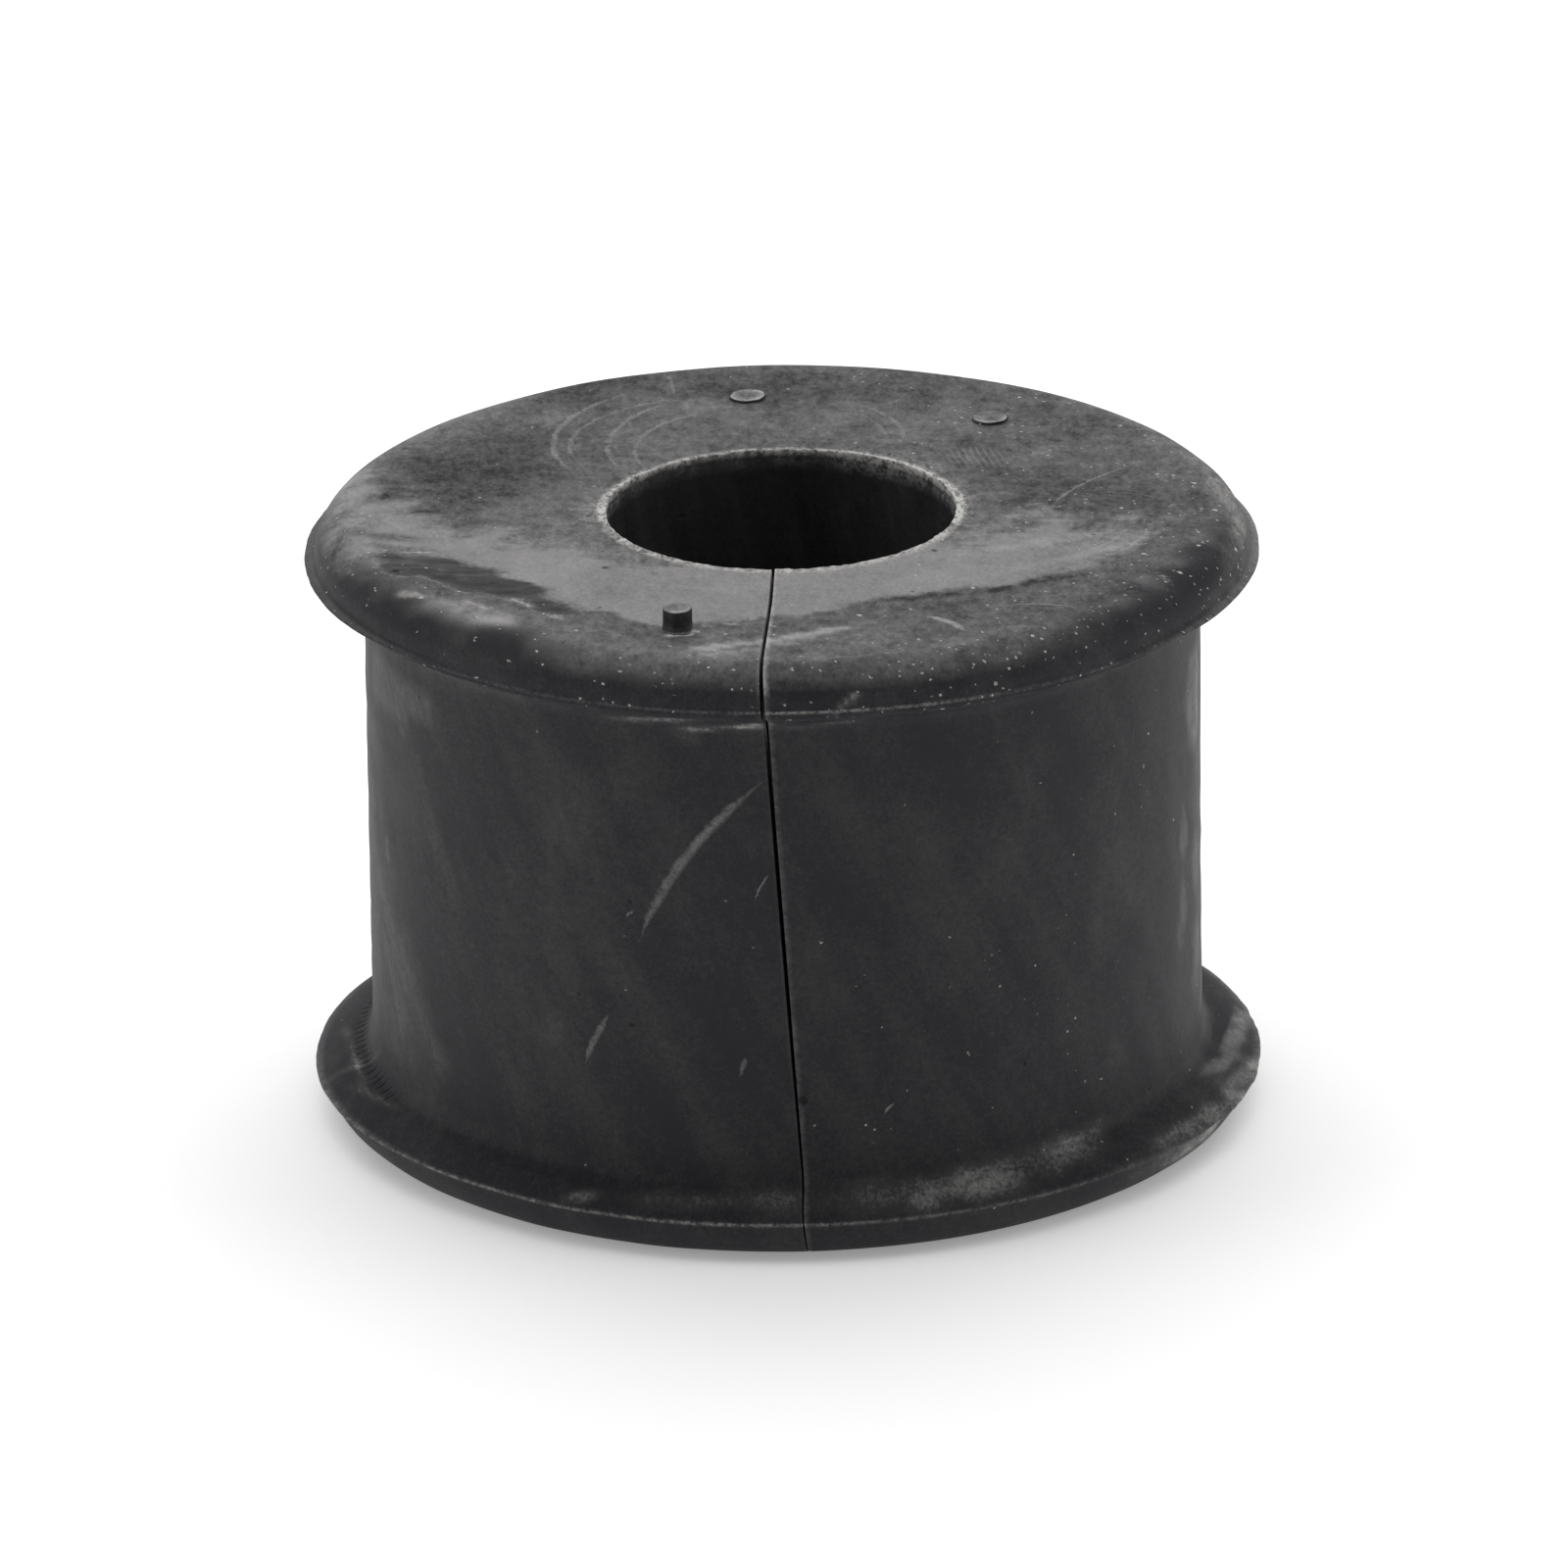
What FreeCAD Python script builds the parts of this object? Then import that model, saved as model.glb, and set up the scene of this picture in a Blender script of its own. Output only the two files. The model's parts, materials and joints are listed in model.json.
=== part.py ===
import FreeCAD, Part
import math
import os

import Sketcher
from FreeCAD import Vector

# Sway bar bushing: one moulding of black rubber, a thick sleeve between two flanges.
# The bore stands upright on +Z, the lower end face lies on Z = 0, and the knife cut
# that lets the sleeve open over a bar faces -Y. All sizes are in millimetres.

SIZES = {
    # sleeve
    "height": 39.0,              # end face to end face
    "bore_dia": 22.0,
    "body_dia": 52.6,            # seat of the clamp, between the flanges
    "root_width": 0.65,          # bevel that eases a flange into the sleeve
    # flanges, alike at both ends
    "flange_reach": 3.1,         # how far the rounded shoulder stands beyond the sleeve
    "shoulder_radius": 2.6,      # from the end face round to the rim
    "rim_depth": 2.6,            # end face to the mould's parting plane
    "flange_slope": 25.0,        # degrees, inner side of the flange
    # moulding lip that is left in the parting plane, all round each rim
    "lip_reach": 0.6,
    "lip_thickness": 0.5,
    # knife cut through one side, tighter at the foot
    "slit_top_gap": 0.3,
    "slit_foot_gap": 0.1,
    "slit_yaw": 3.0,             # degrees that the blade stood off -Y, about the bore
    "slit_top_offset": 0.03,     # how far it passed to the right of the bore's axis
    "slit_foot_offset": 2.5,
    # feed pips on the upper face, one left standing and two trimmed
    "pip_inset": 4.6,            # from the edge of the flat face to the pip's centre
    "pip_dia": 1.8,
    "pip_height": 1.4,
    "pip_foot_width": 0.2,       # sloping foot that widens it at the face
    "pip_angle": 253.1,          # degrees from +X, seen from above
    "stub_inset": 5.7,
    "stub_dia": 2.3,
    "stub_height": 0.25,
    "stub_angle_rear": 95.6,
    "stub_angle_side": 50.7,
}

# worked out on the sheet from the rows above
DERIVED = {
    "rim_radius": "=body_dia / 2 + flange_reach",
    "face_radius": "=rim_radius - shoulder_radius",
    "corner_depth": "=rim_depth + lip_thickness / 2 + flange_reach * tan(flange_slope * 1deg)",
}

NODE = "split_bushing"
SHEET = "Sizes"

doc = FreeCAD.newDocument("SwayBarBushing")


def make_sheet(sizes):
    """Write each size and its name on a row of the sheet."""
    sheet = doc.addObject("Spreadsheet::Sheet", SHEET)
    rows = {**sizes, **DERIVED}
    for row, (name, value) in enumerate(rows.items(), start=1):
        sheet.set(f"A{row}", name)
        sheet.set(f"B{row}", str(value))
        sheet.setAlias(f"B{row}", name)
    doc.recompute()
    return sheet


def origin_plane(body, role):
    """Return one of the body's own origin planes by its role."""
    return next(item for item in body.Origin.OriginFeatures if item.Role == role)


def add_sketch(body, name, role, lift=None):
    """Put a sketch on an origin plane, lifted by a size of the sheet if one is given."""
    sketch = body.newObject("Sketcher::SketchObject", name)
    sketch.AttachmentSupport = (origin_plane(body, role), [""])
    sketch.MapMode = "FlatFace"
    if lift:
        sketch.setExpression(".AttachmentOffset.Base.z", f"{SHEET}.{lift}")
    return sketch


def bind(sketch, kind, where, value, expression):
    """Add a driving constraint and tie it to the sheet."""
    index = sketch.addConstraint(Sketcher.Constraint(kind, *where, value))
    sketch.setExpression(f"Constraints[{index}]", expression)


def relate(sketch, *rules):
    """Add geometric constraints, each given as its kind and the places it ties."""
    for rule in rules:
        sketch.addConstraint(Sketcher.Constraint(*rule))


def arc(centre, radius, start, end):
    """Arc of a circle in the sketch plane, between two angles in radians."""
    circle = Part.Circle(Vector(*centre, 0), Vector(0, 0, 1), radius)
    return Part.ArcOfCircle(circle, start, end)


def line(start, end):
    return Part.LineSegment(Vector(*start, 0), Vector(*end, 0))


def face_radius(size):
    return size["body_dia"] / 2 + size["flange_reach"] - size["shoulder_radius"]


def section_points(size):
    """Work out where the corners of the half section lie, as radius and height."""
    body = size["body_dia"] / 2
    rim = body + size["flange_reach"]
    face = face_radius(size)
    shoulder = size["shoulder_radius"]
    half_lip = size["lip_thickness"] / 2
    slope = math.radians(size["flange_slope"])
    root = size["root_width"]

    under = size["rim_depth"] - half_lip
    over = size["rim_depth"] + half_lip
    drop = math.asin((shoulder - under) / shoulder)

    # the flange's inner side would meet the sleeve at this height without its bevel
    corner = over + (rim - body) * math.tan(slope)
    return {
        "bore": size["bore_dia"] / 2,
        "face": face,
        "rim": rim,
        "body": body,
        "under": under,
        "over": over,
        "drop": drop,
        "shoulder_end": face + shoulder * math.cos(drop),
        "tip": rim + size["lip_reach"],
        "root_out": (body + root * math.cos(slope), corner - root * math.sin(slope)),
        "root_in": (body, corner + root),
        "middle": size["height"] / 2,
    }


def draw_section(sketch, size):
    """Draw half of the section, from the lower end face to the middle of the sleeve."""
    at = section_points(size)
    shoulder = size["shoulder_radius"]
    slope = math.radians(size["flange_slope"])
    quarter = math.pi / 2

    outline = [
        line((at["bore"], 0), (at["face"], 0)),
        arc((at["face"], shoulder), shoulder, -quarter, -at["drop"]),
        line((at["shoulder_end"], at["under"]), (at["tip"], at["under"])),
        line((at["tip"], at["under"]), (at["tip"], at["over"])),
        line((at["tip"], at["over"]), (at["rim"], at["over"])),
        line((at["rim"], at["over"]), at["root_out"]),
        line(at["root_out"], at["root_in"]),
        line(at["root_in"], (at["body"], at["middle"])),
        line((at["body"], at["middle"]), (at["bore"], at["middle"])),
        line((at["bore"], at["middle"]), (at["bore"], 0)),
    ]
    for piece in outline:
        sketch.addGeometry(piece, False)
    face, turn, below, edge, above, cone, root, seat, middle, wall = range(len(outline))
    start, end = 1, 2
    axis = -1      # the sketch's own horizontal axis, and its origin

    relate(
        sketch,
        ("Tangent", face, end, turn, start),
        ("Coincident", turn, end, below, start),
        ("Coincident", below, end, edge, start),
        ("Coincident", edge, end, above, start),
        ("Coincident", above, end, cone, start),
        ("Coincident", cone, end, root, start),
        ("Coincident", root, end, seat, start),
        ("Coincident", seat, end, middle, start),
        ("Coincident", middle, end, wall, start),
        ("Coincident", wall, end, face, start),
        ("Horizontal", below),
        ("Horizontal", above),
        ("Horizontal", middle),
        ("Vertical", edge),
        ("Vertical", seat),
        ("Vertical", wall),
        ("PointOnObject", face, start, axis),
        ("PointOnObject", face, end, axis),
    )
    bind(sketch, "Radius", (turn,), shoulder, f"{SHEET}.shoulder_radius")
    across = [
        ((face, start), at["bore"], f"{SHEET}.bore_dia / 2"),
        ((face, end), at["face"], f"{SHEET}.face_radius"),
        ((edge, start), at["tip"], f"{SHEET}.rim_radius + {SHEET}.lip_reach"),
        ((cone, start), at["rim"], f"{SHEET}.rim_radius"),
        ((root, start), at["root_out"][0],
         f"{SHEET}.body_dia / 2 + {SHEET}.root_width * cos({SHEET}.flange_slope * 1 deg)"),
        ((seat, end), at["body"], f"{SHEET}.body_dia / 2"),
    ]
    up = [
        ((edge, start), at["under"], f"{SHEET}.rim_depth - {SHEET}.lip_thickness / 2"),
        ((edge, end), at["over"], f"{SHEET}.rim_depth + {SHEET}.lip_thickness / 2"),
        ((seat, start), at["root_in"][1], f"{SHEET}.corner_depth + {SHEET}.root_width"),
        ((seat, end), at["middle"], f"{SHEET}.height / 2"),
    ]
    for place, value, expression in across:
        bind(sketch, "DistanceX", (axis, 1, *place), value, expression)
    for place, value, expression in up:
        bind(sketch, "DistanceY", (axis, 1, *place), value, expression)
    bind(sketch, "Angle", (cone,), math.pi - slope, f"(180 - {SHEET}.flange_slope) * 1 deg")


def draw_blade(sketch, size):
    """Draw the knife cut as seen along the blade: a tall thin strip that leans."""
    foot, top = size["slit_foot_offset"], size["slit_top_offset"]
    foot_gap, top_gap = size["slit_foot_gap"], size["slit_top_gap"]
    height = size["height"]
    corners = [
        (foot - foot_gap / 2, 0),
        (foot + foot_gap / 2, 0),
        (top + top_gap / 2, height),
        (top - top_gap / 2, height),
    ]
    for index in range(4):
        sketch.addGeometry(line(corners[index], corners[(index + 1) % 4]), False)
    lower, right, upper, left = range(4)
    relate(
        sketch,
        ("Coincident", lower, 2, right, 1),
        ("Coincident", right, 2, upper, 1),
        ("Coincident", upper, 2, left, 1),
        ("Coincident", left, 2, lower, 1),
        ("PointOnObject", lower, 1, -1),
        ("Horizontal", lower),
        ("Horizontal", upper),
    )
    cut = f"{SHEET}.slit"
    bind(sketch, "DistanceX", (lower, 1, lower, 2), foot_gap, f"{cut}_foot_gap")
    bind(sketch, "DistanceX", (upper, 2, upper, 1), top_gap, f"{cut}_top_gap")
    bind(sketch, "DistanceX", (-1, 1, lower, 1), corners[0][0],
         f"{cut}_foot_offset - {cut}_foot_gap / 2")
    bind(sketch, "DistanceX", (-1, 1, upper, 2), corners[3][0],
         f"{cut}_top_offset - {cut}_top_gap / 2")
    bind(sketch, "DistanceY", (-1, 1, upper, 1), height, f"{SHEET}.height")


def draw_pip(sketch, size, kind, angle_name):
    """Draw a pip's circle at the end of a construction line that gives its place."""
    angle = math.radians(size[angle_name])
    radius = face_radius(size) - size[f"{kind}_inset"]
    bulk = size[f"{kind}_dia"] / 2
    place = (radius * math.cos(angle), radius * math.sin(angle))
    spoke = sketch.addGeometry(line((0, 0), place), True)
    ring = sketch.addGeometry(
        Part.Circle(Vector(*place, 0), Vector(0, 0, 1), bulk), False)
    relate(
        sketch,
        ("Coincident", spoke, 1, -1, 1),
        ("Coincident", ring, 3, spoke, 2),
    )
    bind(sketch, "Distance", (spoke,), radius, f"{SHEET}.face_radius - {SHEET}.{kind}_inset")
    bind(sketch, "Angle", (spoke,), angle, f"{SHEET}.{angle_name} * 1 deg")
    bind(sketch, "Radius", (ring,), bulk, f"{SHEET}.{kind}_dia / 2")


def pip_foot(shape, size):
    """Name the edge where the standing pip meets the end face."""
    angle = math.radians(size["pip_angle"])
    radius = face_radius(size) - size["pip_inset"]
    centre = Vector(radius * math.cos(angle), radius * math.sin(angle), size["height"])
    for index, edge in enumerate(shape.Edges, start=1):
        if isinstance(edge.Curve, Part.Circle) and (edge.Curve.Center - centre).Length < 0.01:
            return f"Edge{index}"
    raise RuntimeError("the standing pip has no foot")


def make_bushing(size):
    """Build the bushing in the order it is made: moulded, then trimmed and cut."""
    body = doc.addObject("PartDesign::Body", "Bushing")
    body.Label = NODE

    # the moulding's lower half, turned about the bore, then mirrored
    section = add_sketch(body, "HalfSection", "XZ_Plane")
    draw_section(section, size)
    half = body.newObject("PartDesign::Revolution", "LowerHalf")
    half.Profile = section
    half.ReferenceAxis = (section, ["V_Axis"])
    half.Angle = 360.0
    doc.recompute()

    middle = body.newObject("PartDesign::Plane", "MiddlePlane")
    middle.AttachmentSupport = (origin_plane(body, "XY_Plane"), [""])
    middle.MapMode = "FlatFace"
    middle.setExpression(".AttachmentOffset.Base.z", f"{SHEET}.height / 2")
    doc.recompute()

    spool = body.newObject("PartDesign::Mirrored", "Spool")
    spool.Originals = [half]
    spool.MirrorPlane = (middle, [""])
    spool.Refine = True
    body.Tip = spool
    doc.recompute()

    # feed pips, left where the rubber entered the mould
    stub_sketch = add_sketch(body, "TrimmedPipCircles", "XY_Plane", lift="height")
    draw_pip(stub_sketch, size, "stub", "stub_angle_rear")
    draw_pip(stub_sketch, size, "stub", "stub_angle_side")
    stubs = body.newObject("PartDesign::Pad", "TrimmedPips")
    stubs.Profile = stub_sketch
    stubs.setExpression("Length", f"{SHEET}.stub_height")
    doc.recompute()

    pip_sketch = add_sketch(body, "StandingPipCircle", "XY_Plane", lift="height")
    draw_pip(pip_sketch, size, "pip", "pip_angle")
    pip = body.newObject("PartDesign::Pad", "StandingPip")
    pip.Profile = pip_sketch
    pip.setExpression("Length", f"{SHEET}.pip_height")
    doc.recompute()

    foot = body.newObject("PartDesign::Chamfer", "PipFoot")
    foot.Base = (pip, [pip_foot(pip.Shape, size)])
    foot.setExpression("Size", f"{SHEET}.pip_foot_width")
    doc.recompute()
    uncut = foot.Shape.Volume

    # the knife cut, from the bore's axis out through one side
    blade = add_sketch(body, "Blade", "XZ_Plane")
    blade.AttachmentOffset = FreeCAD.Placement(
        Vector(0, 0, 0), FreeCAD.Rotation(Vector(0, -1, 0), size["slit_yaw"]))
    blade.setExpression(".AttachmentOffset.Rotation.Angle", f"{SHEET}.slit_yaw * 1 deg")
    draw_blade(blade, size)
    doc.recompute()
    slit = body.newObject("PartDesign::Pocket", "KnifeCut")
    slit.Profile = blade
    slit.Reversed = True
    slit.setExpression("Length", f"{SHEET}.rim_radius + 2 * {SHEET}.lip_reach")
    body.Tip = slit
    doc.recompute()
    if not slit.Shape.Volume < uncut:
        raise RuntimeError("the knife cut takes nothing away")
    return body


def check(body):
    """Stop if any object failed or the bushing isn't one sound solid."""
    for item in doc.Objects:
        if "Invalid" in item.State or "Error" in item.State:
            raise RuntimeError(f"{item.Name} did not compute: {item.State}")
    shape = body.Shape
    if shape.isNull() or not shape.isValid() or len(shape.Solids) != 1:
        raise RuntimeError(f"{body.Label} is not one sound solid")


def main():
    make_sheet(SIZES)
    bushing = make_bushing(SIZES)
    doc.recompute()
    check(bushing)
    os.makedirs("parts", exist_ok=True)
    bushing.Shape.exportStep(f"parts/{bushing.Label}.step")
    box = bushing.Shape.BoundBox
    print(f"{bushing.Label}: {box.XLength:.2f} x {box.YLength:.2f} x {box.ZLength:.2f} mm,",
          f"{bushing.Shape.Volume / 1000:.2f} cm3")


main()
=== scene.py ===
import json
import math

import bpy
import numpy as np
from mathutils import Matrix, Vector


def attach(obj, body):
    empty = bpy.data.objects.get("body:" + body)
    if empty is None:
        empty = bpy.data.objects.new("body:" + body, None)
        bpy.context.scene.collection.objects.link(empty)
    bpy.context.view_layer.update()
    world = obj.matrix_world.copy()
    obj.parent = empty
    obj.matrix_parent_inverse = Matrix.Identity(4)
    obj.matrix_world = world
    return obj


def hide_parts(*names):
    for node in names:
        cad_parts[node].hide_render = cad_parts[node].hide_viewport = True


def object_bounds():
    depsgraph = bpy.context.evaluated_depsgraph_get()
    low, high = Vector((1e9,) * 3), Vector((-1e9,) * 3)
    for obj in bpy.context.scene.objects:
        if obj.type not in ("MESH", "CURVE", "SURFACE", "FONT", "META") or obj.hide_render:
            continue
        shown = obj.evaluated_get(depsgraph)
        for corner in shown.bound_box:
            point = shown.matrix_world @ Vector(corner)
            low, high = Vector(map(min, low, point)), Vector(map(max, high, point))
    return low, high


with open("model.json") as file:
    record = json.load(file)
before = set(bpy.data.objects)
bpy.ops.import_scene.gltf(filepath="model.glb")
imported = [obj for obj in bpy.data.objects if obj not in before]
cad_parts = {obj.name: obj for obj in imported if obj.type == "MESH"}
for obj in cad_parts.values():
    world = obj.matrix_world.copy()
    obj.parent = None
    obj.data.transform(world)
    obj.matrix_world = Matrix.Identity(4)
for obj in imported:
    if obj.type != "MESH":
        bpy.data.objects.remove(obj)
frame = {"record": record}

# Lengths are in millimetres and angles in degrees until a mesh is written.
mm = 0.001
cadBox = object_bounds()
bushingNode = "split_bushing"
boreMount = next(mount for mount in frame["record"]["mounts"] if mount["name"] == "bore")
print("bushing frame loaded, box", cadBox)


# small helpers for numbers on the surface
def softStep(value, low, high):
    # 0 below low, 1 above high, and a smooth S between them
    share = np.clip((value - low) / (high - low), 0.0, 1.0)
    return share * share * (3.0 - 2.0 * share)


def aroundNoise(angle, lowest, highest, seed):
    # a sum of waves with whole numbers of periods round the bore, about -1 to 1
    waves = np.arange(lowest, highest + 1)
    dice = np.random.default_rng(seed)
    phase = dice.uniform(0.0, 2.0 * np.pi, waves.size)
    weight = dice.uniform(0.5, 1.0, waves.size)
    total = np.zeros_like(angle)
    for wave, start, share in zip(waves, phase, weight):
        total += share * np.cos(wave * angle + start)
    return total / np.sqrt((weight ** 2).sum())


def waveNoise(across, along, size, seed):
    # a sum of plane waves in all directions, about -1 to 1, with blotches of about that size
    dice = np.random.default_rng(seed)
    total = np.zeros_like(across)
    for lean, share, start in dice.uniform(0.0, 1.0, (16, 3)):
        pace = 2.0 * np.pi / (size * (1.4 + 2.2 * share))
        turn = lean * 2.0 * np.pi
        total += np.sin(pace * (across * np.cos(turn) + along * np.sin(turn)) + 40.0 * start)
    return total / 4.0


def bumpAt(angle, place, width):
    # a bell over an angle round the bore: 1 at its place, near 0 past twice its width
    gap = (angle - math.radians(place) + np.pi) % (2.0 * np.pi) - np.pi
    return np.exp(-((gap / math.radians(width)) ** 2))


def arcPoints(centre, radius, start, end, count):
    # points on a circle about a centre, evenly from one angle to the other
    angle = np.radians(np.linspace(start, end, count))
    return centre[0] + radius * np.cos(angle), centre[1] + radius * np.sin(angle)


# the moulding, as a section carried round the bore
bushing = {
    "sleeveRadius": 26.3,
    "rimRadius": 29.4,
    "shoulderRadius": 2.6,
    "partingDepth": 2.6,      # end face to the mould's parting line
    "lipThickness": 0.3,
    "crownRadius": 5.0,       # inner side of the flange
    "rootRadius": 1.4,
    "rootDepth": 5.2,
    "boreFlashHeight": 0.15,
    "boreFlashWidth": 0.34,
    "slitEdgeDrop": 0.05,     # how far the cut's edges are worn down
    "burr": (0.05, 0.02),     # right edge of the cut, on the face: height of its two columns
    "longWave": 0.05,         # how untrue the rubber is, in long and in short waves
    "shortWave": 0.02,
    "lipSag": 0.05,
    "columns": 500,
}
boreRadius = boreMount["dims"]["r_mm"]
height = boreMount["dims"]["length_mm"]
lipReach = cadBox[1][0] / mm - bushing["rimRadius"]
aroundSleeve = 2.0 * math.pi * bushing["sleeveRadius"]

# where one kind of surface turns into the next, as heights and as distances out from the bore
zones = {
    "face": (height - 1.4, height - 0.65),      # rim's side to end face
    "faceMarks": height - 1.6,                  # marks of the face are laid from here up
    "sleeve": (8.0, 9.0),
    "shoulder": (12.5, 15.0),
    "shoulderHeight": (34.5, 36.0),
    "slope": (15.5, 16.0),
    "slopeHeight": (2.6, 2.9),
    "slopeTop": (36.2, 36.5),
    "sleeveFoot": (4.5, 6.0),
    "crease": 16.1,
    "creaseHeight": (3.0, 3.4, 6.5, 7.5),
    "notchX": (-25.5, -24.5),                   # notches only left of this, and in front of this
    "notchY": (5.0, 7.0),
}

# the knife cut: x across the front, against y and z, and how it wanders off that plane
knifeCut = {
    "lineX": 0.94,
    "perY": 0.0523,
    "perZ": -0.0636,
    "fromY": -30.0,
    "wanderPlaces": (0.0, 5.5, 14.0, 19.5, 24.0, 30.0, 45.0, 56.0, 60.0),
    "wander": (0.0, 0.11, 0.06, 0.05, -0.04, -0.07, -0.05, -0.01, 0.08),
    "gapPlaces": (0.0, 15.0, 19.0, 40.0, 47.0, 56.0, 62.0),
    "gap": (0.2, 0.2, 0.27, 0.24, 0.19, 0.1, 0.06),
}


def endSection(values):
    # one end's half section from the bore's middle, over the end face and the rim, to the
    # sleeve's middle: radius, depth below the end face, share of the lip, share of the flash
    rows = []

    def addRows(radius, depth, lip=0.0, flash=0.0):
        radius, depth, lip, flash = np.broadcast_arrays(radius, depth, lip, flash)
        rows.append(np.stack([radius, depth, lip, flash], axis=1).astype(float))

    middle = height / 2
    shoulder = values["shoulderRadius"]
    rim = values["rimRadius"]
    face = rim - shoulder
    parting = values["partingDepth"]
    half = values["lipThickness"] / 2
    wide = values["boreFlashWidth"]

    addRows(boreRadius, np.linspace(middle - 1.2, 0.7, 8))
    addRows(boreRadius, np.array([0.3, 0.12]), flash=np.array([0.0, 0.3]))
    across = np.array([0.1, 0.3, 0.55, 0.8, 1.0])
    addRows(boreRadius + wide * across, 0.0, flash=np.array([0.9, 1.0, 0.7, 0.25, 0.0]))
    addRows(np.linspace(boreRadius + 2.2 * wide, face - 0.5, 27), 0.0)

    turn = math.degrees(math.asin((shoulder - parting + 1.6 * half) / shoulder))
    addRows(*arcPoints((face, shoulder), shoulder, -90.0, -turn, 16))
    steps = np.array([-1.0, -0.45, 0.0, 0.45, 1.0])
    addRows(rim, parting + half * steps, lip=np.array([0.25, 0.85, 1.0, 0.85, 0.25]))

    # the inner side is one circle through the rim and another, hollow, into the sleeve
    crown = values["crownRadius"]
    root = values["rootRadius"]
    rimX, rimY = rim, parting + 1.9 * half
    rootX, rootY = values["sleeveRadius"] + root, values["rootDepth"]
    apart = math.hypot(rootX - rimX, rootY - rimY)
    along = (crown ** 2 - (crown + root) ** 2 + apart ** 2) / (2 * apart)
    aside = math.sqrt(crown ** 2 - along ** 2)
    unitX, unitY = (rootX - rimX) / apart, (rootY - rimY) / apart
    crownX = rimX + unitX * along - unitY * aside
    crownY = rimY + unitY * along + unitX * aside
    startTurn = math.degrees(math.atan2(rimY - crownY, rimX - crownX))
    endTurn = math.degrees(math.atan2(rootY - crownY, rootX - crownX))
    addRows(*arcPoints((crownX, crownY), crown, startTurn, endTurn, 8))
    radius, depth = arcPoints((rootX, rootY), root, endTurn + 180.0, 180.0, 8)
    addRows(radius[1:], depth[1:])
    addRows(values["sleeveRadius"], np.linspace(rootY + 1.0, middle, 14))
    return np.concatenate(rows)


def cutWalls(radius, up, travel):
    # angles of the cut's two walls at each row: the plane's x, plus its wander and half
    # the gap, put on the row's circle
    cut = knifeCut
    middle = np.zeros_like(radius)
    for _ in range(3):
        front = -np.sqrt(radius ** 2 - middle ** 2)
        middle = cut["lineX"] + cut["perY"] * (front - cut["fromY"]) + cut["perZ"] * up
        middle += np.interp(travel, cut["wanderPlaces"], cut["wander"])
    gap = np.interp(travel, cut["gapPlaces"], cut["gap"])
    right = middle + gap / 2
    left = middle - gap / 2
    start = np.arctan2(-np.sqrt(radius ** 2 - right ** 2), right)
    end = np.arctan2(-np.sqrt(radius ** 2 - left ** 2), left) + 2.0 * np.pi
    return start, end


def sectionNormals(radius, up):
    # outward direction at each row of the closed section, square to its neighbours' line
    alongR = np.roll(radius, -1, 0) - np.roll(radius, 1, 0)
    alongZ = np.roll(up, -1, 0) - np.roll(up, 1, 0)
    size = np.maximum(np.hypot(alongR, alongZ), 1e-9)
    return -alongZ / size, alongR / size


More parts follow.
